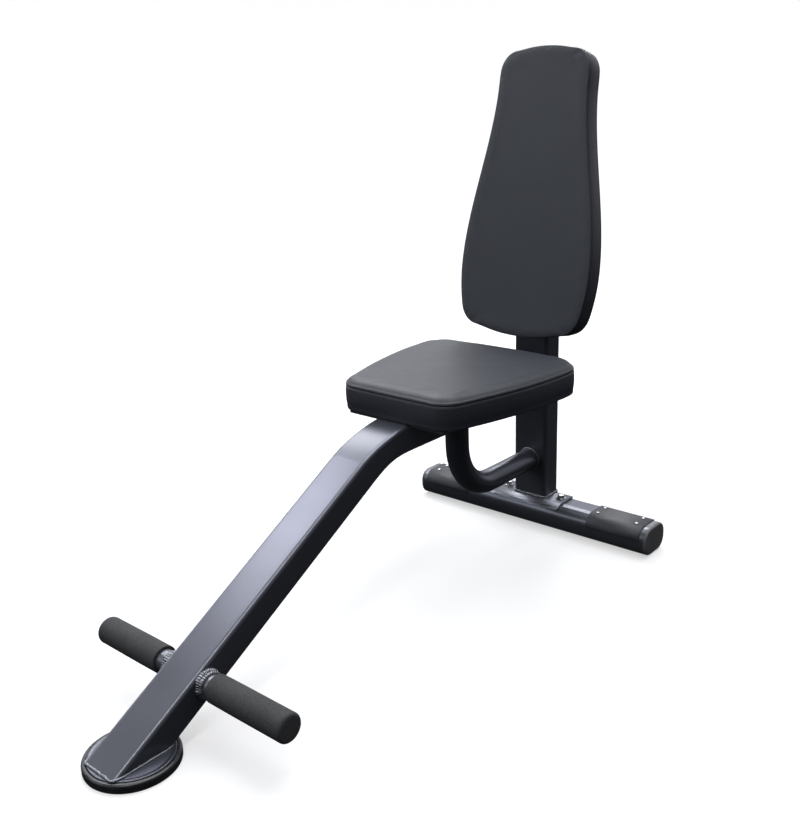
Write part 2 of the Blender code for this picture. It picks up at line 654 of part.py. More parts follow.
def back_pad():
    place = back_frame()
    board = cushion_pieces("back", back_outline, BACK_THICKNESS - BACK_CROWN, BACK_CROWN, wood, place)
    tube_front = place.inverted() @ (upright_path()[-1][0]
                                     + place.to_3x3() @ Vector((0, 0, UPRIGHT_DEPTH / 2)))
    plate_back = tube_front.z + GAP
    plate_front = -GAP
    spots = []
    for plate_name, along in PLATE_AT.items():
        plan = rounded_rectangle(PLATE_WIDTH, PLATE_HEIGHT, PLATE_CORNER, 1)
        plate = extruded("back_plate_" + plate_name, plan, plate_back, plate_front, paint,
                         place @ at(0, along, 0))
        sides = [at(side * BACK_BOLT_X, along, 0) for side in SIDES.values()]
        cut(plate, "plate_drill_" + plate_name, [place @ spot for spot in sides], M8_RADIUS + 2 * GAP,
            4 * abs(plate_back))
        for side_name, side in SIDES.items():
            tag = "%s_%s" % (plate_name, side_name)
            head = place @ at(side * BACK_BOLT_X, along, plate_back - GAP) @ Matrix.Rotation(math.pi, 4, "X")
            hex_bolt("back_bolt_" + tag, head,
                     M8_RADIUS, M8_HEAD_RADIUS, M8_HEAD_HEIGHT, BACK_BOLT_LENGTH, steel)
            tee_nut("back_tee_nut_" + tag, place @ at(side * BACK_BOLT_X, along, 0))
            spots.append(at(side * BACK_BOLT_X, along, BOARD_THICKNESS / 2))
    cut_in_pad(board, "back_board_drill", spots, place)


# ---------------------------------------------------------------- the bench

remove_everything()

paint = material("graphite_paint", (0.060, 0.064, 0.078), 0.32, 0.55)
leather = material("charcoal_vinyl", (0.036, 0.042, 0.050), 0.50, 0.0)
foam = material("cushion_foam", (0.62, 0.60, 0.52), 0.95, 0.0)
rubber = material("black_rubber", (0.045, 0.045, 0.047), 0.75, 0.0)
plastic = material("cap_plastic", (0.050, 0.050, 0.055), 0.50, 0.0)
steel = material("zinc_steel", (0.66, 0.66, 0.66), 0.28, 1.0)
wood = material("plywood", (0.035, 0.033, 0.032), 0.80, 0.0)

front_y = FOOT_Y - FOOT_RADIUS
tube_end, tube_direction = upright_path()[-1]
rear_corner = tube_end + tube_direction * CAP_STEP + Vector((0, tube_direction.z, 0)) * UPRIGHT_DEPTH / 2
bench = bpy.data.objects.new("bench", None)
bpy.context.collection.objects.link(bench)
bench.location = (0, -(front_y + rear_corner.y) / 2, 0)

rear_base()
base_fittings()
front_foot()
spine()
foot_pegs()
upright()
brace()
seat()
back_pad()
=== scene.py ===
# Looks of the utility bench: upholstery, powder coat, welds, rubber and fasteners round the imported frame.
import json
import math

import bmesh
import bpy
import numpy as np
from mathutils import Matrix, Vector, noise


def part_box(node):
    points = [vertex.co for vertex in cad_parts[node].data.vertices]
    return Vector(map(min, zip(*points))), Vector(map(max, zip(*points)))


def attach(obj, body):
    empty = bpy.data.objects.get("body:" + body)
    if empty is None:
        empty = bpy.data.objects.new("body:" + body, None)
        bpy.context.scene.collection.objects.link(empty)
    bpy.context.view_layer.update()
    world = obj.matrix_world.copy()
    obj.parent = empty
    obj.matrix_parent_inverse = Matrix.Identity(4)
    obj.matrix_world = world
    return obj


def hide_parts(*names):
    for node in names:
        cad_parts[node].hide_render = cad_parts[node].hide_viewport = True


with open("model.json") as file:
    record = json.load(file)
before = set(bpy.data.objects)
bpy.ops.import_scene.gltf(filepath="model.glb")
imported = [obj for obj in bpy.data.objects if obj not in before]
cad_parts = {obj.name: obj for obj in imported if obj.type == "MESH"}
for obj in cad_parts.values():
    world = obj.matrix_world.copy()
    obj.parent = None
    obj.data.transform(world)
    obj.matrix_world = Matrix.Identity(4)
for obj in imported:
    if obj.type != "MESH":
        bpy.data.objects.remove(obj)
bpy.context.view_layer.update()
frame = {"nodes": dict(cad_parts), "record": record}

SIDES = ("left", "right")
GAP = 0.0003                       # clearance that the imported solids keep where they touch

# camera, measured from the axis of the rear cross tube
CAMERA_PLACE = (1.1254, -1.7361, 0.9366)
CAMERA_YAW = math.radians(41.26)
CAMERA_PITCH = math.radians(18.574)
CAMERA_ROLL = math.radians(-2.115)
CAMERA_LENS = 41.89
SENSOR = 36.0

# upholstery
TOP_ROWS = 44                      # mesh cells across and along a pad's face
TOP_COLUMNS = 44
FULLNESS = 0.0010                  # how far the stuffed pad stands proud of its packed outline
STITCH_PITCH = 0.0046
STITCH_LENGTH = 0.0031
STITCH_RADIUS = 0.00036
HEM_WIDTH = 0.016
SWELL_FRAMES = 20                  # cloth steps that blow a pad up

# rear base
TUBE_SHOULDER = 0.025              # corner radius of the rear cross tube

# welds
BEAD_PITCH = 0.0034                # from one ripple of a bead to the next
BEAD_STEPS = 5                     # rings to a ripple
BEAD_SIDES = 10

# tubes and plates
HARD_EDGE = math.radians(50)       # edges sharper than this stay creased on a subdivided tube

# rubber and turned parts
SLEEVE_FULLNESS = 0.0006           # soft foam stands a little proud of its packed radius
ROUND_SIDES = 72


# ---------------------------------------------------------------- materials

class Finish:
    """A Principled material with helpers for its procedural colour, roughness and bump."""

    def __init__(self, name, colour, roughness, metallic=0.0, **sockets):
        self.material = bpy.data.materials.new(name)
        self.material.use_nodes = True
        self.tree = self.material.node_tree
        self.shader = self.tree.nodes["Principled BSDF"]
        self.shader.inputs["Base Color"].default_value = (*colour, 1.0)
        self.shader.inputs["Roughness"].default_value = roughness
        self.shader.inputs["Metallic"].default_value = metallic
        for socket, value in sockets.items():
            self.shader.inputs[socket.replace("_", " ")].default_value = value
        self.coordinates = self.tree.nodes.new("ShaderNodeTexCoord").outputs["Object"]
        self.normal = None

    def node(self, kind, **inputs):
        made = self.tree.nodes.new(kind)
        for socket, value in inputs.items():
            made.inputs[socket.replace("_", " ")].default_value = value
        return made

    def link(self, start, end):
        self.tree.links.new(start, end)

    def noise(self, scale, detail=3.0, stretch=(1.0, 1.0, 1.0)):
        mapping = self.node("ShaderNodeMapping", Scale=stretch)
        self.link(self.coordinates, mapping.inputs["Vector"])
        made = self.node("ShaderNodeTexNoise", Scale=scale, Detail=detail)
        self.link(mapping.outputs["Vector"], made.inputs["Vector"])
        return made.outputs["Fac"]

    def cells(self, scale, feature="DISTANCE_TO_EDGE"):
        """Cell pattern whose cells are pushed about by a finer noise."""
        wobble = self.node("ShaderNodeTexNoise", Scale=scale * 0.7, Detail=1.0)
        self.link(self.coordinates, wobble.inputs["Vector"])
        shift = self.node("ShaderNodeVectorMath")
        shift.operation = "MULTIPLY_ADD"
        shift.inputs[1].default_value = (0.5 / scale,) * 3
        self.link(wobble.outputs["Color"], shift.inputs[0])
        self.link(self.coordinates, shift.inputs[2])
        made = self.node("ShaderNodeTexVoronoi", Scale=scale)
        made.feature = feature
        self.link(shift.outputs["Vector"], made.inputs["Vector"])
        return made.outputs["Distance"]

    def between(self, factor, low, high, to_low, to_high):
        made = self.node("ShaderNodeMapRange")
        for socket, value in zip(("From Min", "From Max", "To Min", "To Max"), (low, high, to_low, to_high)):
            made.inputs[socket].default_value = value
        self.link(factor, made.inputs["Value"])
        return made.outputs["Result"]

    def colour_between(self, factor, low, high, dark, light):
        ramp = self.node("ShaderNodeValToRGB")
        ramp.color_ramp.elements[0].position = low
        ramp.color_ramp.elements[0].color = (*dark, 1.0)
        ramp.color_ramp.elements[1].position = high
        ramp.color_ramp.elements[1].color = (*light, 1.0)
        self.link(factor, ramp.inputs["Fac"])
        return ramp.outputs["Color"]

    def mix(self, factor, first, second):
        made = self.node("ShaderNodeMix")
        made.data_type = "RGBA"
        self.link(factor, made.inputs[0])
        self.link(first, made.inputs[6])
        self.link(second, made.inputs[7])
        return made.outputs[2]

    def paint_with(self, colour):
        self.link(colour, self.shader.inputs["Base Color"])

    def roughen(self, factor, low, high, smooth, rough):
        self.link(self.between(factor, low, high, smooth, rough), self.shader.inputs["Roughness"])

    def bump(self, factor, distance, strength=1.0):
        made = self.node("ShaderNodeBump", Distance=distance, Strength=strength)
        self.link(factor, made.inputs["Height"])
        if self.normal:
            self.link(self.normal, made.inputs["Normal"])
        self.normal = made.outputs["Normal"]
        self.link(self.normal, self.shader.inputs["Normal"])

    def edge_mask(self, low, high):
        """1 on the convex edges of the mesh, 0 on flats."""
        shape = self.node("ShaderNodeNewGeometry")
        return self.between(shape.outputs["Pointiness"], low, high, 0.0, 1.0)


def powder_coat():
    """Graphite metallic powder coat: fine orange peel, faint flake, and a painted highlight: a paler colour
    on the convex edges.
    """
    made = Finish("graphite_paint", (0.10, 0.105, 0.13), 0.30, 0.7, Coat_Weight=0.2, Coat_Roughness=0.24,
                  Specular_IOR_Level=0.5)
    cloudy = made.noise(9.0, 4.0)
    flake = made.noise(2600.0, 1.0)
    base = made.colour_between(cloudy, 0.3, 0.7, (0.092, 0.097, 0.122), (0.106, 0.111, 0.140))
    speck = made.colour_between(flake, 0.62, 0.78, (0.098, 0.103, 0.128), (0.170, 0.176, 0.205))
    # painted highlight: a paler colour along the convex edges stands in for the light the rounded corners
    # catch
    painted_edge_highlight = made.colour_between(flake, 0.3, 0.7, (0.190, 0.198, 0.226), (0.260, 0.268, 0.296))
    made.paint_with(made.mix(made.edge_mask(0.53, 0.60), made.mix(cloudy, base, speck), painted_edge_highlight))
    made.roughen(cloudy, 0.3, 0.7, 0.29, 0.36)
    made.bump(made.noise(420.0, 2.0), 0.00010, 0.30)
    return made.material


def weld_metal():
    """The same coat over weld metal: brighter, spattered and uneven; the brightness is painted highlight on
    the raised spatter, with painted shade in its dips.
    """
    made = Finish("coated_weld", (0.15, 0.155, 0.18), 0.34, 0.8, Coat_Weight=0.4, Coat_Roughness=0.15)
    spatter = made.noise(700.0, 3.0)
    # painted highlight and shade: raised spatter is coloured lighter, its dips darker
    made.paint_with(made.colour_between(spatter, 0.35, 0.7, (0.10, 0.105, 0.125), (0.34, 0.345, 0.37)))
    made.roughen(spatter, 0.3, 0.7, 0.26, 0.45)
    made.bump(spatter, 0.0006, 0.5)
    return made.material


def textured_coat():
    """Matte textured cover plates."""
    made = Finish("textured_coat", (0.030, 0.033, 0.038), 0.50, 0.1, Specular_IOR_Level=0.45)
    pebble = made.cells(900.0, "F1")
    cloudy = made.noise(20.0, 3.0)
    made.paint_with(made.colour_between(cloudy, 0.3, 0.7, (0.042, 0.045, 0.051), (0.054, 0.057, 0.064)))
    made.roughen(cloudy, 0.3, 0.7, 0.38, 0.48)
    made.bump(pebble, 0.00025, 0.4)
    return made.material


def vinyl():
    """Charcoal upholstery vinyl: pebbled leather grain with painted shade in its grooves, and a soft sheen.
    """
    made = Finish("charcoal_vinyl", (0.032, 0.036, 0.046), 0.50, Specular_IOR_Level=0.5)
    cloudy = made.noise(7.0, 3.0)
    grain = made.cells(620.0)
    base = made.colour_between(cloudy, 0.3, 0.7, (0.031, 0.035, 0.046), (0.034, 0.039, 0.050))
    # painted shade: the grooves between the pebbles take a darker colour
    painted_grain_shade = made.colour_between(cloudy, 0.3, 0.7, (0.020, 0.023, 0.030), (0.024, 0.027, 0.034))
    made.paint_with(made.mix(made.between(grain, 0.0, 0.22, 0.0, 1.0), painted_grain_shade, base))
    made.roughen(made.noise(38.0, 4.0), 0.3, 0.7, 0.485, 0.515)
    made.bump(made.between(grain, 0.0, 0.30, 0.0, 1.0), 0.00020, 0.35)
    made.bump(made.noise(1500.0, 2.0), 0.0001, 0.2)
    return made.material


def thread():
    made = Finish("bonded_thread", (0.030, 0.033, 0.038), 0.55, Sheen_Weight=0.2)
    twist = made.noise(1900.0, 1.0, (1.0, 1.0, 2.4))
    # painted shade and highlight: the thread is coloured darker in the grooves of its twist and lighter on
    # the raised strands
    made.paint_with(made.colour_between(twist, 0.35, 0.65, (0.020, 0.022, 0.026), (0.060, 0.065, 0.074)))
    made.bump(twist, 0.0002, 0.6)
    return made.material


def foam_grip():
    """Closed-cell foam sleeve: matte, with fine pits that carry painted shade."""
    made = Finish("grip_rubber", (0.043, 0.043, 0.044), 0.86, Specular_IOR_Level=0.28)
    pits = made.cells(760.0, "F1")
    cloudy = made.noise(26.0, 4.0)
    base = made.colour_between(cloudy, 0.3, 0.7, (0.060, 0.061, 0.063), (0.073, 0.074, 0.076))
    # painted shade: the pits between the cells take a darker colour
    painted_pit_shade = made.colour_between(cloudy, 0.3, 0.7, (0.034, 0.035, 0.036), (0.042, 0.043, 0.044))
    made.paint_with(made.mix(made.between(pits, 0.35, 0.75, 0.0, 1.0), base, painted_pit_shade))
    made.roughen(made.noise(300.0, 2.0), 0.3, 0.7, 0.80, 0.93)
    made.bump(made.between(pits, 0.2, 0.8, 1.0, 0.0), 0.00028, 0.5)
    made.bump(made.noise(90.0, 3.0), 0.0006, 0.2)
    return made.material


def foot_rubber():
    """Moulded rubber, smoother and glossier than the sleeves, with scuffs."""
    made = Finish("foot_rubber", (0.016, 0.017, 0.019), 0.30, Specular_IOR_Level=0.6)
    scuff = made.noise(70.0, 5.0, (1.0, 1.0, 6.0))
    made.paint_with(made.colour_between(scuff, 0.4, 0.75, (0.014, 0.015, 0.017), (0.030, 0.031, 0.034)))
    made.roughen(scuff, 0.35, 0.7, 0.24, 0.42)
    made.bump(made.noise(900.0, 2.0), 0.0001, 0.25)
    return made.material


def cap_plastic():
    """Injection-moulded cap: fine spark-eroded texture."""
    made = Finish("cap_plastic", (0.040, 0.042, 0.047), 0.42)
    spark = made.noise(1300.0, 2.0)
    cloudy = made.noise(30.0, 3.0)
    made.paint_with(made.colour_between(cloudy, 0.3, 0.7, (0.115, 0.116, 0.119), (0.140, 0.141, 0.145)))
    made.roughen(cloudy, 0.3, 0.7, 0.36, 0.48)
    made.bump(spark, 0.0001, 0.4)
    return made.material


def zinc():
    """Bright zinc-plated steel with drawn streaks and dulled patches."""
    made = Finish("zinc_steel", (0.66, 0.66, 0.67), 0.24, 1.0)
    dull = made.noise(160.0, 4.0)
    streak = made.noise(700.0, 2.0, (1.0, 1.0, 0.15))
    made.paint_with(made.colour_between(dull, 0.3, 0.75, (0.72, 0.72, 0.73), (0.45, 0.45, 0.47)))
    made.roughen(dull, 0.3, 0.7, 0.18, 0.36)
    made.bump(streak, 0.0001, 0.25)
    return made.material


def plywood():
    """Black-stained plywood with open grain."""
    made = Finish("plywood", (0.030, 0.026, 0.023), 0.72, Specular_IOR_Level=0.3)
    grain = made.noise(14.0, 6.0, (9.0, 0.7, 9.0))
    made.paint_with(made.colour_between(grain, 0.35, 0.7, (0.018, 0.016, 0.015), (0.050, 0.043, 0.036)))
    made.roughen(grain, 0.3, 0.7, 0.62, 0.82)
    made.bump(grain, 0.0004, 0.5)
    return made.material


def cushion_foam():
    made = Finish("cushion_foam", (0.62, 0.60, 0.52), 0.95, Specular_IOR_Level=0.2)
    cell = made.cells(900.0, "F1")
    made.paint_with(made.colour_between(cell, 0.2, 0.8, (0.66, 0.64, 0.56), (0.46, 0.44, 0.38)))
    made.bump(cell, 0.0004, 0.6)
    return made.material


def studio_floor():
    """Pale sweep that keeps the shadows near the bench and stays even further out."""
    made = Finish("studio_floor", (0.5, 0.5, 0.5), 0.95, Specular_IOR_Level=0.0)
    made.shader.inputs["Emission Color"].default_value = (1.0, 1.0, 1.0, 1.0)
    faint = made.noise(1.5, 2.0)
    made.paint_with(made.colour_between(faint, 0.0, 1.0, (0.495, 0.495, 0.495), (0.505, 0.505, 0.505)))
    away = made.node("ShaderNodeVectorMath")
    away.operation = "LENGTH"
    made.link(made.coordinates, away.inputs[0])
    glow = made.between(away.outputs["Value"], 0.8, 4.5, 0.52, 0.93)
    made.link(glow, made.shader.inputs["Emission Strength"])
    return made.material


FINISHES = {
    "graphite_paint": powder_coat(),
    "charcoal_vinyl": vinyl(),
    "cushion_foam": cushion_foam(),
    "plywood": plywood(),
    "grip_rubber": foam_grip(),
    "foot_rubber": foot_rubber(),
    "cap_plastic": cap_plastic(),
    "zinc_steel": zinc(),
}
THREAD = thread()
WELD = weld_metal()
COVER = textured_coat()


# ---------------------------------------------------------------- mesh helpers

def add_piece(name, mesh, slot, replaced=(), finish=None):
    """Link a piece of the object, ride it on the frame and hide the imported solids it stands in for."""
    mesh.materials.clear()
    mesh.materials.append(finish or FINISHES[slot])
    piece = bpy.data.objects.new(name, mesh)
    bpy.context.scene.collection.objects.link(piece)
    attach(piece, "root")
    if replaced:
        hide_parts(*replaced)
    return piece


def finish_mesh(bm, name, sharp=35.0):
    bmesh.ops.recalc_face_normals(bm, faces=bm.faces)
    mesh = bpy.data.meshes.new(name)
    bm.to_mesh(mesh)
    bm.free()
    mesh.shade_smooth()
    mesh.set_sharp_from_angle(angle=math.radians(sharp))
    return mesh


def bridge(bm, rings):
    """Fill the strip between each ring of vertices and the next."""
    for low, high in zip(rings, rings[1:]):
        for i in range(len(low)):
            j = (i + 1) % len(low)
            bm.faces.new((low[i], low[j], high[j], high[i]))


def rings_mesh(name, rings, wrap=False, sharp=35.0):
    """Join rings of equal length into one closed skin; wrap joins the last ring to the first."""
    bm = bmesh.new()
    made = [[bm.verts.new(point) for point in ring] for ring in rings]
    if wrap:
        made.append(made[0])
    else:
        bm.faces.new(made[0])
        bm.faces.new(made[-1])
    bridge(bm, made)
    return finish_mesh(bm, name, sharp)


def turned_rings(profile, place, sides=ROUND_SIDES):
    """Rings for a (radius, height) profile turned about the local Z axis of place."""
    turns = [2 * math.pi * i / sides for i in range(sides)]
    return [[place @ Vector((radius * math.cos(t), radius * math.sin(t), height)) for t in turns]
            for radius, height in profile]


def arc(centre, radius, first, last, steps):
    """(radius, height) points of a rounded edge; angles in degrees from the radial direction."""
    turns = [math.radians(first + (last - first) * i / steps) for i in range(steps + 1)]
    return [(centre[0] + radius * math.cos(t), centre[1] + radius * math.sin(t)) for t in turns]


def box_of(node):
    low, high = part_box(node)
    return low, high, (low + high) / 2


def solid_of(node):
    """The node's packed skin with its triangles joined up, as a bmesh."""
    bm = bmesh.new()
    bm.from_mesh(frame["nodes"][node].data)
    bmesh.ops.remove_doubles(bm, verts=bm.verts, dist=1e-5)
    return bm


def refined(node, slot, levels=2):
    """A tube as one smooth surface: quads, creased at the cut ends, subdivided."""
    bm = solid_of(node)
    bmesh.ops.join_triangles(bm, faces=bm.faces, angle_face_threshold=math.radians(25),
                             angle_shape_threshold=math.radians(180))
    crease = bm.edges.layers.float.new("crease_edge")
    for edge in bm.edges:
        if len(edge.link_faces) == 2 and edge.calc_face_angle() > HARD_EDGE:
            edge[crease] = 1.0
    piece = add_piece(node + "_skin", finish_mesh(bm, node + "_skin"), slot, (node,))
    smooth = piece.modifiers.new("smooth", "SUBSURF")
    smooth.levels = levels
    smooth.render_levels = levels
    return piece


def softened(node, slot, width=0.0006):
    """A plate or moulding with its sharp edges broken."""
    bm = solid_of(node)
    bmesh.ops.dissolve_limit(bm, angle_limit=math.radians(0.6), verts=bm.verts, edges=bm.edges)
    piece = add_piece(node + "_skin", finish_mesh(bm, node + "_skin", 32.0), slot, (node,))
    broken = piece.modifiers.new("broken_edges", "BEVEL")
    broken.width = width
    broken.segments = 2
    broken.limit_method = "ANGLE"
    broken.angle_limit = math.radians(40)
    flat = piece.modifiers.new("flat_faces", "WEIGHTED_NORMAL")
    flat.keep_sharp = True
    return piece


# ---------------------------------------------------------------- loops on the frame

def hull_loop(points, axis):
    """Points on a plane across an axis, in order round their outer edge."""
    u, v = [k for k in range(3) if k != axis]
    flat = sorted({(round(p[u], 5), round(p[v], 5)) for p in points})
    level = points[0][axis]

    def half(run):
        kept = []
        for q in run:
            while len(kept) > 1:
                a, b = kept[-2], kept[-1]
                if (b[0] - a[0]) * (q[1] - a[1]) - (b[1] - a[1]) * (q[0] - a[0]) > 1e-10:
                    break
                kept.pop()
            kept.append(q)
        return kept[:-1]

    loop = []
    for q in half(flat) + half(flat[::-1]):
        point = Vector((0.0, 0.0, 0.0))
        point[u], point[v], point[axis] = q[0], q[1], level
        loop.append(point)
    return loop


def end_loop(node, axis, top):
    """The outer edge of a node's flat end: its highest (top) or lowest end along an axis."""
    points = [v.co.copy() for v in frame["nodes"][node].data.vertices]
    level = (max if top else min)(p[axis] for p in points)
    return hull_loop([p for p in points if abs(p[axis] - level) < 2e-4], axis)


def walk(loop, pitch, closed=True):
    """Evenly spaced points along a polyline."""
    corners = loop + [loop[0]] if closed else loop
    lengths = [(b - a).length for a, b in zip(corners, corners[1:])]
    total = sum(lengths)
    count = max(4, round(total / pitch))
    spots = []
    reached = 0.0
    k = 0
    for i in range(count if closed else count + 1):
        target = total * i / count
        while k < len(lengths) - 1 and reached + lengths[k] < target:
            reached += lengths[k]
            k += 1
        share = min(1.0, (target - reached) / max(lengths[k], 1e-9))
        spots.append(corners[k].lerp(corners[k + 1], share))
    return spots


def weld_bead(name, loop, radius, seed=0.0):
    """A laid bead round a closed loop: overlapping ripples on a slightly wandering, uneven run."""
    spots = walk(loop, BEAD_PITCH / BEAD_STEPS)
    turns = [2 * math.pi * k / BEAD_SIDES for k in range(BEAD_SIDES)]
    rings = []
    reference = None
    for i, spot in enumerate(spots):
        along = (spots[(i + 1) % len(spots)] - spots[i - 1]).normalized()
        side = along.orthogonal().normalized()
        ripple = abs(math.sin(math.pi * i / BEAD_STEPS))
        rough = noise.noise(spot * 160 + Vector((seed, 0, 0)))
        swell = radius * (0.78 + 0.22 * ripple + 0.30 * rough)
        centre = spot + side * rough * radius * 0.25
        # one reference direction is carried along the run, so that the skin doesn't twist
        if reference is None:
            reference = side
        reference = (reference - along * reference.dot(along)).normalized()
        second = along.cross(reference)
        rings.append([centre + (reference * math.cos(t) + second * math.sin(t)) * swell for t in turns])
    mesh = rings_mesh(name, rings, wrap=True, sharp=180.0)
    return add_piece(name, mesh, "graphite_paint", finish=WELD)


# ---------------------------------------------------------------- upholstered pads

def pad_space(prefix):
    """Matrix from pad space to the row frame: x across, y along the pad, z out of the board's hidden face."""
    board = frame["nodes"][prefix + "_board"].data
    face = max(board.polygons, key=lambda p: p.area)
    out = face.normal.copy()
    _, _, board_middle = box_of(prefix + "_board")
    _, _, cover_middle = box_of(prefix + "_cover")
    if out.dot(cover_middle - board_middle) < 0:
        out = -out
    across = Vector((1, 0, 0))
    along = out.cross(across).normalized()
    depth = min(v.co.dot(out) for v in board.vertices)
    origin = board_middle - out * (board_middle.dot(out) - depth)
    origin.x = 0.0
    return Matrix.Translation(origin) @ Matrix((across, along, out)).transposed().to_4x4()


def smooth_loop(points, count):
    """A closed Catmull-Rom curve through points, sampled finely."""
    total = len(points)
    samples = []
    for i in range(total):
        a, b, c, d = (points[(i + k) % total] for k in (-1, 0, 1, 2))
        t = [0.0]
        for p, q in ((a, b), (b, c), (c, d)):
            t.append(t[-1] + math.sqrt((q - p).length))
        for k in range(count):
            s = t[1] + (t[2] - t[1]) * k / count
            ab = a.lerp(b, (s - t[0]) / (t[1] - t[0]))
            bc = b.lerp(c, (s - t[1]) / (t[2] - t[1]))
            cd = c.lerp(d, (s - t[2]) / (t[3] - t[2]))
            abc = ab.lerp(bc, (s - t[0]) / (t[2] - t[0]))
            bcd = bc.lerp(cd, (s - t[1]) / (t[3] - t[1]))
            samples.append(abc.lerp(bcd, (s - t[1]) / (t[2] - t[1])))
    return samples


def settle(loop, passes):
    """Even out the kinks of a finely sampled closed loop."""
    for _ in range(passes):
        loop = [(loop[i - 1] + 2 * loop[i] + loop[(i + 1) % len(loop)]) / 4 for i in range(len(loop))]
    return loop


def pad_outline(prefix, to_pad):
    """The pad's plan from its packed cover: front, right, rear and left stretches between its corners."""
    points = [to_pad @ v.co for v in frame["nodes"][prefix + "_cover"].data.vertices]
    reach = max(p.x for p in points)
    level = max(p.z for p in points if p.x > reach - 1e-4)
    rim = [Vector((p.x, p.y)) for p in points if abs(p.z - level) < 5e-5]
    middle = (min(p.y for p in rim) + max(p.y for p in rim)) / 2
    rim.sort(key=lambda p: math.atan2(p.y - middle, p.x))
    loop = []
    for p in rim:
        if not loop or (p - loop[-1]).length > 5e-4:
            loop.append(p)
    fine = settle(smooth_loop(loop, 24), 40)
    corners = []
    for sx, sy in ((-1, -1), (1, -1), (1, 1), (-1, 1)):
        corners.append(max(range(len(fine)), key=lambda i: fine[i].x * sx + (fine[i].y - middle) * sy))
    stretches = []
    for k, count in enumerate((TOP_COLUMNS, TOP_ROWS, TOP_COLUMNS, TOP_ROWS)):
        first, last = corners[k], corners[(k + 1) % 4]
        if last < first:
            last += len(fine)
        run = [Vector((*fine[i % len(fine)], 0)) for i in range(first, last + 1)]
        stretches += walk(run, sum((b - a).length for a, b in zip(run, run[1:])) / count, False)[:-1]
    return [Vector((p.x, p.y)) for p in stretches], max(p.z for p in points)


def inset_loop(loop, distance):
    """Move a plan loop inwards along its own normals."""
    moved = []
    for i, p in enumerate(loop):
        along = loop[(i + 1) % len(loop)] - loop[i - 1]
        moved.append(p + Vector((-along.y, along.x)).normalized() * distance)
    return moved


def pad_profile(height, crown, belly, roll, groove):
    """(inset, z, kind) rings from the hem, up the wall, over the seam, round the roll and on to the face."""
    seam = height - roll
    rings = [(HEM_WIDTH, 0.0040, "pin"), (HEM_WIDTH, 0.0, "pin"), (HEM_WIDTH - 0.0008, -0.0006, "pin"),
             (0.0120, -0.0007, "pin"), (0.0060, -0.0007, "pin"), (0.0026, -0.0006, "pin"),
             (0.0014, 0.0005, "pin"), (0.0011, 0.0040, "pin"), (0.0010, 0.0090, "pin"),
             (0.0004, 0.0120, "wall")]
    steps = 5
    for i in range(1, steps):
        share = i / steps
        rings.append((-belly * math.sin(math.pi * share), 0.012 + (seam - 0.016) * share, "wall"))
    rings += [(0.0003, seam - 0.0034, "pin"), (0.0006, seam - 0.0018, "pin"), (groove, seam, "pin"),
              (0.0006, seam + 0.0016, "pin"), (0.0001, seam + 0.0028, "face")]
    radius = roll - 0.0036
    for degrees in (15, 38, 62, 80):
        turn = math.radians(degrees)
        rings.append((radius * (1 - math.cos(turn)), height - radius * (1 - math.sin(turn)), "face"))
    for inset, share in ((0.0022, 0.38), (0.0060, 0.72), (0.0115, 0.91), (0.0185, 0.98)):
        rings.append((radius + inset, height + crown * share, "face"))
    return rings


def coons(boundary, columns, rows):
    """Fill a closed boundary loop of 3-D points with a grid."""
    front = boundary[0:columns + 1]
    right = boundary[columns:columns + rows + 1]
    rear = boundary[columns + rows:2 * columns + rows + 1][::-1]
    left = (boundary[2 * columns + rows:] + [boundary[0]])[::-1]
    grid = []
    for j in range(rows + 1):
        v = j / rows
        line = []
        for i in range(columns + 1):
            u = i / columns
            sides = left[j] * (1 - u) + right[j] * u
            ends = front[i] * (1 - v) + rear[i] * v
            corners = (front[0] * (1 - u) * (1 - v) + front[-1] * u * (1 - v)
                       + rear[0] * (1 - u) * v + rear[-1] * u * v)
            line.append(sides + ends - corners)
        grid.append(line)
    return grid


def swell_with_cloth(mesh, pins, pressure, cap):
    """Blow the skin up as cloth under pressure, keep the pinned points, and cap how far a point may move."""
    body = bpy.data.objects.new("cloth_form", mesh)
    bpy.context.scene.collection.objects.link(body)
    held = body.vertex_groups.new(name="held")
    for index, weight in pins.items():
        held.add([index], weight, "REPLACE")
    cloth = body.modifiers.new("cloth", "CLOTH")
    cloth.settings.quality = 6
    cloth.settings.mass = 0.35
    cloth.settings.tension_stiffness = 25
    cloth.settings.compression_stiffness = 25
    cloth.settings.shear_stiffness = 12
    cloth.settings.bending_stiffness = 2.0
    cloth.settings.use_pressure = True
    cloth.settings.uniform_pressure_force = pressure
    cloth.settings.vertex_group_mass = "held"
    cloth.settings.effector_weights.gravity = 0.0
    cloth.collision_settings.use_collision = False
    cloth.point_cache.frame_start = 1
    cloth.point_cache.frame_end = SWELL_FRAMES
    scene = bpy.context.scene
    for step in range(1, SWELL_FRAMES + 1):
        scene.frame_set(step)
    shaped = body.evaluated_get(bpy.context.evaluated_depsgraph_get())
    count = len(mesh.vertices)
    before = np.zeros(count * 3)
    after = np.zeros(count * 3)
    mesh.vertices.foreach_get("co", before)
    shaped.data.vertices.foreach_get("co", after)
    before = before.reshape(-1, 3)
    moved = after.reshape(-1, 3) - before
    length = np.maximum(np.linalg.norm(moved, axis=1), 1e-9)
    moved *= (cap * np.tanh(length / cap) / length)[:, None]
    bpy.data.objects.remove(body)
    scene.frame_set(1)
    mesh.vertices.foreach_set("co", (before + moved).ravel())
    mesh.update()


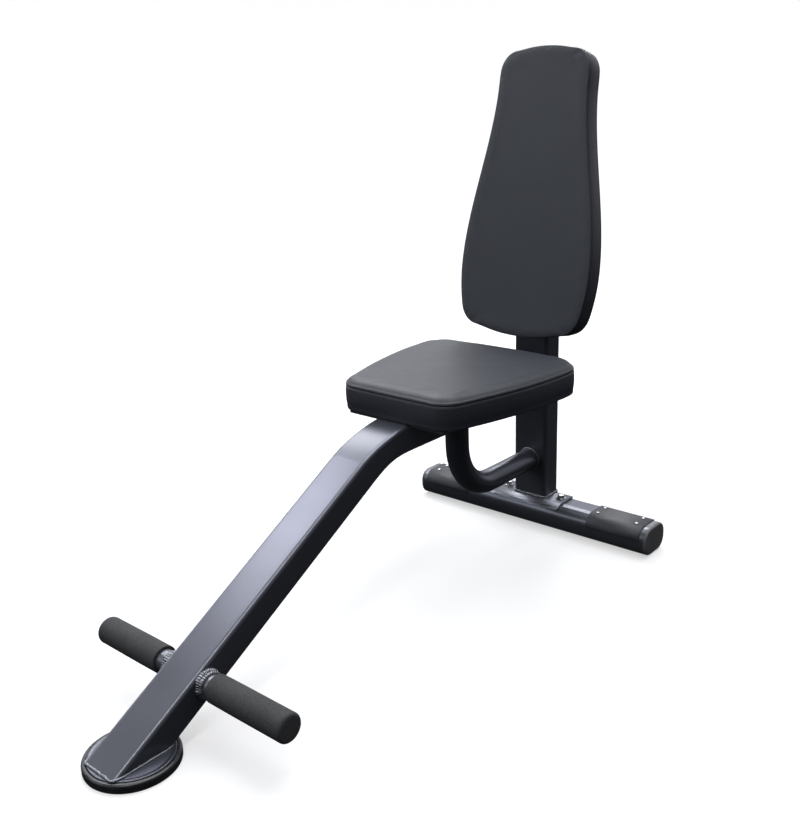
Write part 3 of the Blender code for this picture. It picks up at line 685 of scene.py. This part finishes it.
def upholstered(prefix, crown, belly, roll, groove, pressure, cap):
    """One pad: crowned face, rolled edge, sewn seam, wall that pulls in, and a hem under the board."""
    to_world = pad_space(prefix)
    outline, top = pad_outline(prefix, to_world.inverted())
    outline = inset_loop(outline, -FULLNESS)
    height = top - crown
    rings = pad_profile(height, crown, belly, roll, groove)
    bm = bmesh.new()
    pins = {}
    made = []
    for inset, z, kind in rings:
        ring = []
        for i, p in enumerate(inset_loop(outline, inset)):
            pucker = 0.0
            if kind == "pin" and z > height - roll - 0.006:
                pucker = 0.00030 * noise.noise(Vector((p.x, p.y, 0)) * 85)
            direction = Vector((p.x, p.y, 0)).normalized()
            vertex = bm.verts.new(Vector((p.x, p.y, z)) + direction * pucker)
            ring.append(vertex)
        made.append(ring)
        for vertex in ring:
            pins[vertex] = 1.0 if kind == "pin" else 0.0
    bm.faces.new(made[0])
    bridge(bm, made)
    edge = made[-1]
    edge_height = edge[0].co.z
    grid = coons([v.co.copy() for v in edge], TOP_COLUMNS, TOP_ROWS)
    verts = [[None] * (TOP_COLUMNS + 1) for _ in range(TOP_ROWS + 1)]
    border = ([(i, 0) for i in range(TOP_COLUMNS)] + [(TOP_COLUMNS, j) for j in range(TOP_ROWS)]
              + [(TOP_COLUMNS - i, TOP_ROWS) for i in range(TOP_COLUMNS)]
              + [(0, TOP_ROWS - j) for j in range(TOP_ROWS)])
    for (i, j), vertex in zip(border, edge):
        verts[j][i] = vertex
    for j in range(1, TOP_ROWS):
        for i in range(1, TOP_COLUMNS):
            u = 2 * i / TOP_COLUMNS - 1
            v = 2 * j / TOP_ROWS - 1
            rise = (1 - u ** 4) * (1 - v ** 4)
            point = grid[j][i]
            point.z = edge_height + (top - 0.0012 - edge_height) * rise
            verts[j][i] = bm.verts.new(point)
            pins[verts[j][i]] = 0.0
    for j in range(TOP_ROWS):
        for i in range(TOP_COLUMNS):
            bm.faces.new((verts[j][i], verts[j][i + 1], verts[j + 1][i + 1], verts[j + 1][i]))
    bm.verts.index_update()
    weights = {vertex.index: weight for vertex, weight in pins.items() if weight > 0}
    mesh = finish_mesh(bm, prefix + "_cushion", 180.0)
    swell_with_cloth(mesh, weights, pressure, cap)
    mesh.transform(to_world)
    cushion = add_piece(prefix + "_cushion", mesh, "charcoal_vinyl", (prefix + "_cover", prefix + "_foam"))
    fine = cushion.modifiers.new("fine", "SUBSURF")
    fine.levels = 2
    fine.render_levels = 2
    stitches(prefix, outline, 0.0001, height - roll - 0.0044, to_world)
    return cushion


def stitches(prefix, outline, inset, z, to_world):
    """A row of short thread stitches round a pad."""
    loop = [Vector((p.x, p.y, z)) for p in inset_loop(outline, inset)]
    spots = walk(loop, STITCH_PITCH / 2)
    bm = bmesh.new()
    for i in range(0, len(spots) - 1, 2):
        start, end = spots[i], spots[(i + 1) % len(spots)]
        along = (end - start).normalized()
        out = Vector((along.y, -along.x, 0))
        middle = (start + end) / 2
        rings = []
        for share, lift, size in ((-0.5, -0.0005, 0.35), (-0.36, 0.0, 0.85), (0, 0.00022, 1.0),
                                  (0.36, 0.0, 0.85), (0.5, -0.0005, 0.35)):
            centre = middle + along * STITCH_LENGTH * share + out * lift
            ring = []
            for k in range(6):
                turn = math.pi * k / 3
                offset = out * math.cos(turn) + Vector((0, 0, 1)) * math.sin(turn)
                ring.append(bm.verts.new(centre + offset * STITCH_RADIUS * size))
            rings.append(ring)
        bm.faces.new(rings[0])
        bm.faces.new(rings[-1])
        bridge(bm, rings)
    mesh = finish_mesh(bm, prefix + "_stitches", 80.0)
    mesh.transform(to_world)
    add_piece(mesh.name, mesh, "charcoal_vinyl", finish=THREAD)


# ---------------------------------------------------------------- frame pieces

def frame_tubes():
    for node in ("front_spine", "rear_upright", "rear_base_tube", "back_plate_lower", "back_plate_upper"):
        softened(node, "graphite_paint")
    refined("curved_brace", "graphite_paint")
    for side in SIDES:
        refined("foot_peg_" + side, "graphite_paint", 1)
        softened("base_end_cap_" + side, "cap_plastic", 0.0008)
        wrapped_skin("base_cover_" + side, 0.003, COVER)
        for end in ("front", "rear"):
            softened("seat_bracket_%s_%s" % (end, side), "graphite_paint")
    wrapped_skin("upright_base_plate", 0.009)
    softened("upright_top_cap", "cap_plastic", 0.0008)


def wrapped_skin(node, corner, finish=None):
    """A plate folded over the base tube's shoulders, as rows across X that follow its rounded plan."""
    low, high, middle = box_of(node)
    tube_low, tube_high, tube = box_of("rear_base_tube")
    flat = (tube_high.y - tube_low.y) / 2 - TUBE_SHOULDER
    centre = tube_high.z - TUBE_SHOULDER
    outside = high.z - centre
    inside = TUBE_SHOULDER + GAP
    first = -flat - outside * math.asin(min(1.0, (tube.y - low.y - flat) / outside))
    last = flat + outside * math.asin(min(1.0, (high.y - tube.y - flat) / outside))
    half = (high.x - low.x) / 2
    turns = [math.pi / 2 * i / 7 for i in range(8)]
    stations = [(corner * (1 - math.cos(t)), corner * (1 - math.sin(t))) for t in turns]
    count = round((last - first - 2 * corner) / 0.002)
    rows = [(first + along, loss) for along, loss in stations]
    rows += [(first + corner + (last - first - 2 * corner) * i / count, 0.0) for i in range(1, count)]
    rows += [(last - along, loss) for along, loss in reversed(stations)]
    soft = 0.0006
    rings = []
    for along, loss in rows:
        turn = max(0.0, abs(along) - flat) / outside
        side = math.copysign(1.0, along)
        near = min(along - first, last - along)
        lift = outside - (soft if near < 1e-6 else 0.0)
        reach = half - loss
        ring = []
        for x, radius in ((-reach, inside), (-reach, lift - soft), (-reach + soft, lift),
                          (reach - soft, lift), (reach, lift - soft), (reach, inside)):
            y = side * (min(abs(along), flat) + radius * math.sin(turn))
            ring.append(Vector((middle.x + x, tube.y + y, centre + radius * math.cos(turn))))
        rings.append(ring)
    mesh = rings_mesh(node + "_skin", rings, sharp=50.0)
    return add_piece(mesh.name, mesh, "graphite_paint", (node,), finish)


def welds():
    """Beads where the tubes meet each other and the plates."""
    weld_bead("weld_spine_foot", end_loop("front_spine", 2, False), 0.0026)
    weld_bead("weld_spine_rear", end_loop("front_spine", 1, True), 0.0030, seed=3.0)
    weld_bead("weld_upright_foot", end_loop("rear_upright", 2, False), 0.0040, seed=5.0)
    weld_bead("weld_brace_top", end_loop("curved_brace", 2, True), 0.0030, seed=7.0)
    weld_bead("weld_brace_rear", end_loop("curved_brace", 1, True), 0.0032, seed=9.0)
    for k, side in enumerate(SIDES):
        loop = end_loop("foot_peg_" + side, 0, side == "left")
        weld_bead("weld_peg_" + side, loop, 0.0064, seed=11.0 + k)
        outwards = Vector((-0.0078 if side == "left" else 0.0078, 0, 0))
        weld_bead("weld_peg_cap_" + side, [p + outwards for p in loop], 0.0046, seed=15.0 + k)
        for end in ("front", "rear"):
            name = "seat_bracket_%s_%s" % (end, side)
            loop = end_loop(name, 0, side == "left")
            weld_bead("weld_" + name, loop, 0.0018, seed=20.0 + k)


def front_foot():
    """Steel disc with a turned step, pressed into a moulded rubber cup."""
    low, high, middle = box_of("front_foot_pad")
    disc_low, disc_high, _ = box_of("front_foot_disc")
    radius = (high.x - low.x) / 2
    disc = (disc_high.x - disc_low.x) / 2
    place = Matrix.Translation((middle.x, middle.y, 0))
    rim = 0.0042
    profile = [(disc + GAP, disc_low.z - GAP), (disc + GAP, high.z - 0.0010), (disc + 0.0012, high.z)]
    profile += arc((radius - rim, high.z - rim), rim, 90, 0, 8)
    profile += arc((radius - 0.0022, 0.0022), 0.0022, 0, -90, 5)
    cup = rings_mesh("front_foot_cup", turned_rings(profile, place, 128))
    add_piece(cup.name, cup, "foot_rubber", ("front_foot_pad",))
    top = disc_high.z
    edge = 0.0016
    profile = [(disc - 0.0008, disc_low.z), (disc, disc_low.z + 0.0008)]
    profile += arc((disc - edge, top - edge), edge, 0, 90, 5)
    profile += [(disc - 0.0052, top), (disc - 0.0060, top - 0.0005), (disc - 0.0068, top - 0.0005),
                (disc - 0.0076, top - 0.0002)]
    plate = rings_mesh("front_foot_plate", turned_rings(profile, place, 128), sharp=50.0)
    add_piece(plate.name, plate, "graphite_paint", ("front_foot_disc",))


def along_x(node):
    """Matrix whose local Z runs outwards along X from the middle of the bench, through the node's axis."""
    _, _, middle = box_of(node)
    turn = math.pi / 2 if middle.x > 0 else -math.pi / 2
    return Matrix.Translation((0, middle.y, middle.z)) @ Matrix.Rotation(turn, 4, "Y")


def foot_grips():
    for side in SIDES:
        node = "foot_peg_grip_" + side
        low, high, _ = box_of(node)
        reach = sorted((abs(low.x), abs(high.x)))
        radius = (high.z - low.z) / 2 + SLEEVE_FULLNESS
        peg_low, peg_high, _ = box_of("foot_peg_" + side)
        bore = (peg_high.z - peg_low.z) / 2 + GAP
        inner, outer = reach
        roll = 0.0052
        profile = [(bore, outer - 0.0040), (bore, inner + 0.0006), (bore + 0.0006, inner)]
        profile += arc((radius - 0.0014, inner + 0.0014), 0.0014, -90, 0, 4)
        profile += [(radius, inner + 0.004), (radius + 0.0002, inner + 0.05), (radius, outer - 0.02)]
        profile += arc((radius - roll, outer - roll), roll, 0, 82, 7)
        profile += [(radius * 0.55, outer - 0.0001), (radius * 0.25, outer)]
        mesh = rings_mesh(node + "_sleeve", turned_rings(profile, along_x(node)), sharp=60.0)
        add_piece(mesh.name, mesh, "grip_rubber", (node,))


def hex_rings(place, across, height, shank, length):
    """Hexagon head with a chamfered top and a washer face, above local Z = 0, and its shank below."""
    def flats(scale, z):
        ring = []
        for i in range(48):
            turn = 2 * math.pi * i / 48
            to_flat = (turn % (math.pi / 3)) - math.pi / 6
            reach = across * scale / math.cos(to_flat)
            ring.append(place @ Vector((reach * math.cos(turn), reach * math.sin(turn), z)))
        return ring

    def round_ring(radius, z):
        turns = [2 * math.pi * i / 48 for i in range(48)]
        return [place @ Vector((radius * math.cos(t), radius * math.sin(t), z)) for t in turns]

    return [round_ring(shank, -length), round_ring(shank, 0), round_ring(across * 0.94, 0),
            round_ring(across * 0.94, height * 0.06), flats(1.0, height * 0.08), flats(1.0, height * 0.80),
            round_ring(across * 0.98, height * 0.95), round_ring(across * 0.90, height),
            round_ring(across * 0.50, height), round_ring(across * 0.44, height - 0.0003)]


def fasteners():
    """Bolts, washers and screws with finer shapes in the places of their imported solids."""
    for side in SIDES:
        low, high, middle = box_of("base_washer_" + side)
        radius = (high.x - low.x) / 2
        bore = 0.0056
        thick = high.z - low.z
        place = Matrix.Translation((middle.x, middle.y, low.z))
        profile = [(bore, 0), (radius - 0.0003, 0), (radius, 0.0003), (radius, thick - 0.0005),
                   (radius - 0.0006, thick), (bore + 0.0003, thick), (bore, thick - 0.0003)]
        mesh = rings_mesh("base_washer_%s_ring" % side, turned_rings(profile, place, 64), wrap=True)
        add_piece(mesh.name, mesh, "zinc_steel", ("base_washer_" + side,))

        low, bolt_high, middle = box_of("base_bolt_" + side)
        across = (bolt_high.x - low.x) / 2 * 0.88
        seat = high.z + GAP
        twist = 0.3 if side == "left" else 0.9
        place = Matrix.Translation((middle.x, middle.y, seat)) @ Matrix.Rotation(twist, 4, "Z")
        mesh = rings_mesh("base_bolt_%s_hex" % side,
                          hex_rings(place, across, bolt_high.z - seat, 0.005, seat - low.z), sharp=30.0)
        add_piece(mesh.name, mesh, "zinc_steel", ("base_bolt_" + side,))
        for number in range(1, 5):
            cover_screw("cover_screw_%s_%d" % (side, number))


def cover_screw(node):
    """Pan head with a cross recess suggested by a sunk centre."""
    low, high, middle = box_of(node)
    head = (high.x - low.x) / 2
    rise = head * 0.5
    base = high.z - rise
    place = Matrix.Translation((middle.x, middle.y, base))
    profile = [(0.0021, low.z - base), (0.0021, 0), (head - 0.0002, 0), (head, 0.0003)]
    profile += [(head * math.cos(t), 0.0003 + (rise - 0.0003) * math.sin(t))
                for t in [math.radians(a) for a in (20, 40, 60)]]
    profile += [(head * 0.34, rise), (head * 0.28, rise - 0.0006)]
    mesh = rings_mesh(node + "_head", turned_rings(profile, place, 32), sharp=40.0)
    add_piece(mesh.name, mesh, "zinc_steel", (node,))


def remaining_nodes():
    """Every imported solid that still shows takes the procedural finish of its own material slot."""
    slots = {row["node"]: row["material_slot"] for row in frame["record"]["subparts"]}
    for name, node in frame["nodes"].items():
        for material_slot in node.material_slots:
            material_slot.link = "OBJECT"
            material_slot.material = FINISHES[slots[name]]


# ---------------------------------------------------------------- studio

def stage():
    """A pale floor that curves up into a round wall."""
    radius = 5.5
    bend = 1.6
    wall_top = 7.0
    profile = [(0.02, 0.0), (2.0, 0.0), (radius, 0.0)]
    profile += [(radius + bend * math.sin(t), bend - bend * math.cos(t))
                for t in [math.radians(a) for a in range(10, 91, 10)]]
    profile.append((radius + bend, wall_top))
    bm = bmesh.new()
    made = [[bm.verts.new(p) for p in ring] for ring in turned_rings(profile, Matrix.Identity(4), 96)]
    bm.faces.new(made[0])
    bridge(bm, made)
    mesh = finish_mesh(bm, "studio_sweep")
    mesh.materials.append(studio_floor())
    floor = bpy.data.objects.new("studio_sweep", mesh)
    bpy.context.scene.collection.objects.link(floor)
    floor.visible_diffuse = False
    floor.visible_glossy = False
    floor.visible_shadow = False


def softbox(name, place, target, size, power, colour):
    data = bpy.data.lights.new(name, "AREA")
    data.shape = "RECTANGLE"
    data.size, data.size_y = size
    data.energy = power
    data.color = colour
    light = bpy.data.objects.new(name, data)
    bpy.context.scene.collection.objects.link(light)
    light.location = place
    light.rotation_mode = "QUATERNION"
    light.rotation_quaternion = (Vector(target) - Vector(place)).to_track_quat("-Z", "Y")


def sky_ramp(nodes, stops):
    """Colour ramp over the height of a direction, from straight down (0) to straight up (1)."""
    ramp = nodes.new("ShaderNodeValToRGB")
    elements = ramp.color_ramp.elements
    while len(elements) < len(stops):
        elements.new(0.5)
    for element, (position, grey) in zip(elements, stops):
        element.position = position
        element.color = (grey * 0.97, grey * 0.98, grey * 1.04, 1.0)
    return ramp


def lights():
    """A dark room, open and bright behind the bench's right shoulder, with soft boxes above and in front."""
    world = bpy.data.worlds.new("studio")
    bpy.context.scene.world = world
    world.use_nodes = True
    nodes = world.node_tree.nodes
    links = world.node_tree.links
    direction = nodes.new("ShaderNodeTexCoord")
    split = nodes.new("ShaderNodeSeparateXYZ")
    links.new(direction.outputs["Generated"], split.inputs["Vector"])
    height = nodes.new("ShaderNodeMapRange")
    height.inputs["From Min"].default_value = -1.0
    height.inputs["From Max"].default_value = 1.0
    links.new(split.outputs["Z"], height.inputs["Value"])
    bright = sky_ramp(nodes, ((0.46, 0.028), (0.53, 0.74), (0.60, 0.92), (0.80, 0.72), (1.0, 0.55)))
    dim = sky_ramp(nodes, ((0.46, 0.022), (0.52, 0.05), (0.66, 0.09), (0.85, 0.25), (1.0, 0.55)))
    toward = nodes.new("ShaderNodeVectorMath")
    toward.operation = "DOT_PRODUCT"
    toward.inputs[1].default_value = (-0.45, 0.9, 0.0)
    links.new(direction.outputs["Generated"], toward.inputs[0])
    share = nodes.new("ShaderNodeMapRange")
    share.inputs["From Min"].default_value = 0.05
    share.inputs["From Max"].default_value = 0.60
    share.interpolation_type = "SMOOTHSTEP"
    links.new(toward.outputs["Value"], share.inputs["Value"])
    blend = nodes.new("ShaderNodeMix")
    blend.data_type = "RGBA"
    links.new(height.outputs["Result"], bright.inputs["Fac"])
    links.new(height.outputs["Result"], dim.inputs["Fac"])
    links.new(share.outputs["Result"], blend.inputs[0])
    links.new(dim.outputs["Color"], blend.inputs[6])
    links.new(bright.outputs["Color"], blend.inputs[7])
    links.new(blend.outputs[2], nodes["Background"].inputs["Color"])
    softbox("overhead", (0.0, 0.8, 3.1), (0.0, 0.2, 0.4), (2.4, 2.2), 62, (0.98, 0.99, 1.0))
    softbox("shoulder", (-1.95, 1.15, 2.25), (0.0, 0.0, 0.35), (1.2, 0.9), 23, (1.0, 1.0, 1.0))
    softbox("side", (-1.68, -0.28, 2.08), (0.0, -0.20, 0.23), (0.9, 0.50), 12.5, (0.93, 0.94, 1.0))
    softbox("rear", (-0.80, 2.17, 1.80), (0.0, 0.35, 0.15), (0.9, 0.7), 15, (0.97, 0.98, 1.0))
    softbox("front_left", (-1.75, -3.1, 1.75), (0.0, 0.2, 0.6), (2.2, 1.8), 20, (0.88, 0.94, 1.0))
    softbox("edge", (0.72, -1.5, 2.45), (0.72, -0.75, 0.2), (0.35, 2.2), 20, (0.97, 0.98, 1.0))
    softbox("low_left", (-2.6, -0.4, 0.8), (0.0, -0.3, 0.15), (2.2, 0.30), 7, (0.95, 0.97, 1.0))


def camera():
    _, _, rear_tube = box_of("rear_base_tube")
    forward = Vector((-math.sin(CAMERA_YAW) * math.cos(CAMERA_PITCH),
                      math.cos(CAMERA_YAW) * math.cos(CAMERA_PITCH), -math.sin(CAMERA_PITCH)))
    level = Vector((math.cos(CAMERA_YAW), math.sin(CAMERA_YAW), 0))
    upward = level.cross(forward)
    right = math.cos(CAMERA_ROLL) * level + math.sin(CAMERA_ROLL) * upward
    top = -math.sin(CAMERA_ROLL) * level + math.cos(CAMERA_ROLL) * upward
    data = bpy.data.cameras.new("camera")
    data.sensor_fit = "AUTO"
    data.sensor_width = SENSOR
    data.lens = CAMERA_LENS
    made = bpy.data.objects.new("camera", data)
    bpy.context.scene.collection.objects.link(made)
    turn = Matrix((right, top, -forward)).transposed().to_4x4()
    made.matrix_world = Matrix.Translation(Vector(CAMERA_PLACE) + Vector((0, rear_tube.y, 0))) @ turn
    bpy.context.scene.camera = made


# ---------------------------------------------------------------- the scene

camera()
stage()
lights()
bpy.context.scene.view_settings.view_transform = "Standard"

remaining_nodes()
frame_tubes()
welds()
front_foot()
foot_grips()
fasteners()
upholstered("seat", crown=0.0088, belly=0.0005, roll=0.0070, groove=0.0026,
            pressure=4.0, cap=0.0013)
upholstered("back", crown=0.0008, belly=0.0006, roll=0.0046, groove=0.0044,
            pressure=2.5, cap=0.0007)
